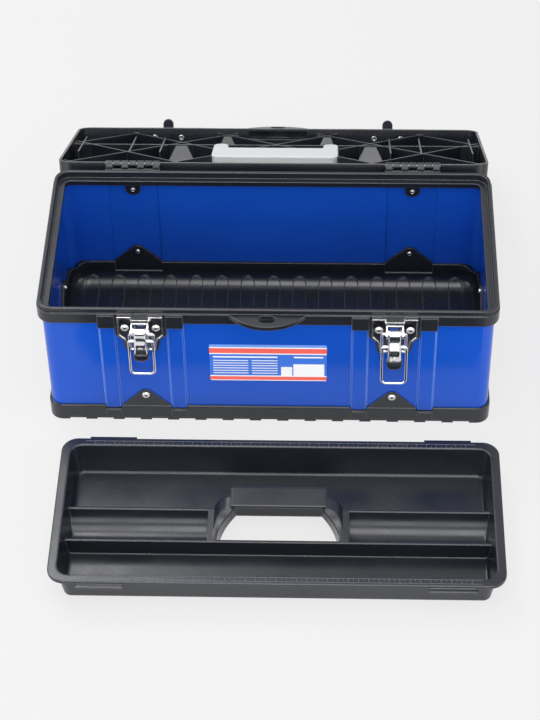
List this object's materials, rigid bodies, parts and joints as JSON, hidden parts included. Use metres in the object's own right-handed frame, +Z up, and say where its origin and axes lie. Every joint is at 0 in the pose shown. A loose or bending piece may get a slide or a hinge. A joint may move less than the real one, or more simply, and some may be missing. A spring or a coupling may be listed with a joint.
{
  "type": "tool box",
  "caption": "Steel and plastic tool box with a hinged ribbed lid, folding carry handle, toggle latches with wire bails and a lift-out divided tray.",
  "frame": {"origin": "on the floor, under the middle of the box", "axes": "+X along the box to its right, +Y from its front to its hinges, +Z up"},
  "size_m": [0.4725, 0.6824, 0.1685],
  "materials": {
    "black_plastic": "moulded, lightly textured",
    "blue_paint": "glossy powder coat",
    "chrome": "bright nickel plate",
    "rivet_steel": "bright",
    "grey_plastic": "moulded",
    "label_film": "printed film",
    "soft_tip": "moulded"
  },
  "bodies": {
    "box": {"base_moulding": "black_plastic", "base_rivet_front_left": "rivet_steel", "base_rivet_front_right": "rivet_steel", "base_rivet_left_front": "rivet_steel", "base_rivet_left_rear": "rivet_steel", "base_rivet_rear_left": "rivet_steel", "base_rivet_rear_right": "rivet_steel", "base_rivet_right_front": "rivet_steel", "base_rivet_right_rear": "rivet_steel", "hinge_pin_left": "rivet_steel", "hinge_pin_right": "rivet_steel", "label_plate": "label_film", "latch_plate_left": "chrome", "latch_plate_right": "chrome", "latch_rivet_left_inner": "rivet_steel", "latch_rivet_left_outer": "rivet_steel", "latch_rivet_right_inner": "rivet_steel", "latch_rivet_right_outer": "rivet_steel", "lever_pin_left": "rivet_steel", "lever_pin_right": "rivet_steel", "rim_rivet_left": "rivet_steel", "rim_rivet_right": "rivet_steel", "steel_wrap": "blue_paint", "top_rim": "black_plastic"},
    "lid": {"lid_shell": "black_plastic", "handle_cup": "grey_plastic", "handle_pin_left": "rivet_steel", "handle_pin_right": "rivet_steel", "strike_left": "chrome", "strike_right": "chrome", "strike_rivet_left_inner": "rivet_steel", "strike_rivet_left_outer": "rivet_steel", "strike_rivet_right_inner": "rivet_steel", "strike_rivet_right_outer": "rivet_steel"},
    "carry_handle": {"carry_handle": "black_plastic"},
    "tray": {"lift_out_tray": "black_plastic"},
    "lever_left": {"latch_lever_left": "chrome", "lever_tip_left": "soft_tip"},
    "bail_left": {"bail_left": "chrome"},
    "lever_right": {"latch_lever_right": "chrome", "lever_tip_right": "soft_tip"},
    "bail_right": {"bail_right": "chrome"}
  },
  "joints": [
    {"name": "lid_hinge", "type": "hinge", "parent": "box", "child": "lid", "pos_m": [0, 0.1167, 0.165], "axis": [-1, 0, 0], "range_deg": [-209.8, 0]},
    {"name": "handle_fold", "type": "hinge", "parent": "lid", "child": "carry_handle", "pos_m": [0, 0.22692, 0.0824], "axis": [1, 0, 0], "range_deg": [-90, 0]},
    {"name": "tray_lift", "type": "slide", "parent": "box", "child": "tray", "axis": [0, 0, 1], "range_m": [0, 0.2]},
    {"name": "lever_left_pivot", "type": "hinge", "parent": "box", "child": "lever_left", "pos_m": [-0.129, -0.1185, 0.144], "axis": [-1, 0, 0], "range_deg": [0, 120]},
    {"name": "bail_left_pivot", "type": "hinge", "parent": "lever_left", "child": "bail_left", "pos_m": [-0.129, -0.114, 0.1265], "axis": [1, 0, 0], "range_deg": [-180, 0]},
    {"name": "lever_right_pivot", "type": "hinge", "parent": "box", "child": "lever_right", "pos_m": [0.129, -0.1185, 0.144], "axis": [-1, 0, 0], "range_deg": [-14, 106]},
    {"name": "bail_right_pivot", "type": "hinge", "parent": "lever_right", "child": "bail_right", "pos_m": [0.129, -0.11837, 0.12593], "axis": [1, 0, 0], "range_deg": [-173, 0]}
  ]
}
